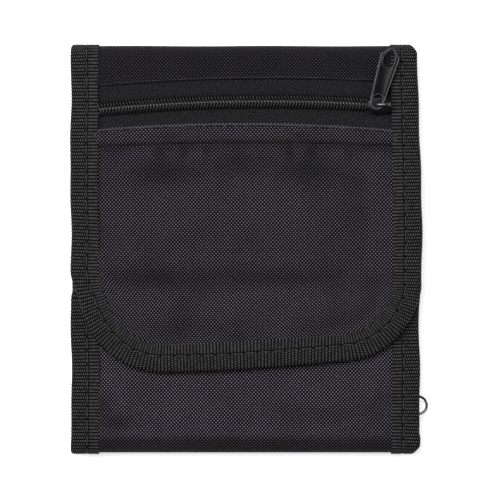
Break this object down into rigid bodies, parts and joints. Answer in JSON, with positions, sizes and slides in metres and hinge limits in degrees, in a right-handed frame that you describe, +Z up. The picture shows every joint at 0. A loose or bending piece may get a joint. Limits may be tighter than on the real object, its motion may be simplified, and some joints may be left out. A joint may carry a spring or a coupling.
{
  "type": "passport holder wallet",
  "caption": "Flat fabric passport wallet, tape-bound and folded over at top and bottom, with a zipped flap, hook and loop closure, inner passport and card pockets and a side D-ring.",
  "frame": {"origin": "middle of the back panel's outer face, which the closed wallet lies on", "axes": "+X to the right of someone looking down on the flap, +Y towards the top fold, +Z up through the flap"},
  "size_m": [0.1395, 0.16, 0.019],
  "materials": {
    "oxford_nylon": "plain-woven, faint sheen",
    "lining_fabric": "smooth woven",
    "grosgrain_tape": "ribbed, matt",
    "zip_tape": "woven, matt",
    "foam_board": "matt foam",
    "clear_vinyl": "clear gloss",
    "zip_coil": "smooth nylon",
    "black_enamel": "gloss enamel",
    "nickel": "polished nickel plate",
    "hook_tape": "stiff hooks",
    "loop_tape": "soft looped pile"
  },
  "bodies": {
    "back_panel": {"back_shell": "oxford_nylon", "back_board": "foam_board", "back_lining": "lining_fabric", "back_binding_left": "grosgrain_tape", "back_binding_right": "grosgrain_tape", "passport_pocket_front": "lining_fabric", "passport_gusset_left": "lining_fabric", "passport_gusset_right": "lining_fabric", "passport_gusset_bottom": "lining_fabric", "card_slot_rear": "lining_fabric", "card_slot_middle": "lining_fabric", "card_slot_front": "lining_fabric", "id_window": "clear_vinyl", "id_window_hem": "grosgrain_tape", "ring_tab": "grosgrain_tape"},
    "side_ring": {"d_ring": "nickel"},
    "top_spine": {"top_spine_shell": "oxford_nylon", "top_spine_lining": "lining_fabric", "top_spine_binding_left": "grosgrain_tape", "top_spine_binding_right": "grosgrain_tape"},
    "flap": {"flap_top_strip": "oxford_nylon", "flap_pocket_front": "oxford_nylon", "flap_lining": "lining_fabric", "flap_binding": "grosgrain_tape", "zip_tape_upper": "zip_tape", "zip_tape_lower": "zip_tape", "zip_coil_upper": "zip_coil", "zip_coil_lower": "zip_coil", "hook_patch": "hook_tape"},
    "zip_slider": {"slider_body": "black_enamel", "slider_crown": "black_enamel"},
    "zip_pull": {"pull_tab": "black_enamel"},
    "bottom_spine": {"bottom_spine_shell": "oxford_nylon", "bottom_spine_lining": "lining_fabric", "bottom_spine_binding_left": "grosgrain_tape", "bottom_spine_binding_right": "grosgrain_tape"},
    "front_panel": {"front_shell": "oxford_nylon", "front_lining": "lining_fabric", "front_binding": "grosgrain_tape", "loop_patch": "loop_tape"}
  },
  "joints": [
    {"name": "top_fold", "type": "hinge", "parent": "back_panel", "child": "top_spine", "pos_m": [0, 0.07824, 0.00176], "axis": [-1, 0, 0], "range_deg": [0, 90]},
    {"name": "flap_fold", "type": "hinge", "parent": "top_spine", "child": "flap", "pos_m": [0, 0.07824, 0.01254], "axis": [-1, 0, 0], "range_deg": [0, 90]},
    {"name": "bottom_fold", "type": "hinge", "parent": "back_panel", "child": "bottom_spine", "pos_m": [0, -0.07854, 0.00146], "axis": [1, 0, 0], "range_deg": [0, 90]},
    {"name": "panel_fold", "type": "hinge", "parent": "bottom_spine", "child": "front_panel", "pos_m": [0, -0.07854, 0.00889], "axis": [1, 0, 0], "range_deg": [0, 90]},
    {"name": "zip_slide", "type": "slide", "parent": "flap", "child": "zip_slider", "axis": [-0.9999, -0.0122, 0], "range_m": [0, 0.104]},
    {"name": "pull_swivel", "type": "hinge", "parent": "zip_slider", "child": "zip_pull", "pos_m": [0.0506, 0.056, 0.0166], "axis": [0, 0, 1], "range_deg": [-30, 240]},
    {"name": "ring_swing", "type": "hinge", "parent": "back_panel", "child": "side_ring", "pos_m": [0.0662, -0.061, 0.0036], "axis": [0, 1, 0], "range_deg": [-55, 15]}
  ],
  "couplings": [
    {"joint": "flap_fold", "follows": "top_fold", "ratio": 1},
    {"joint": "bottom_fold", "follows": "top_fold", "ratio": 1},
    {"joint": "panel_fold", "follows": "top_fold", "ratio": 1}
  ]
}
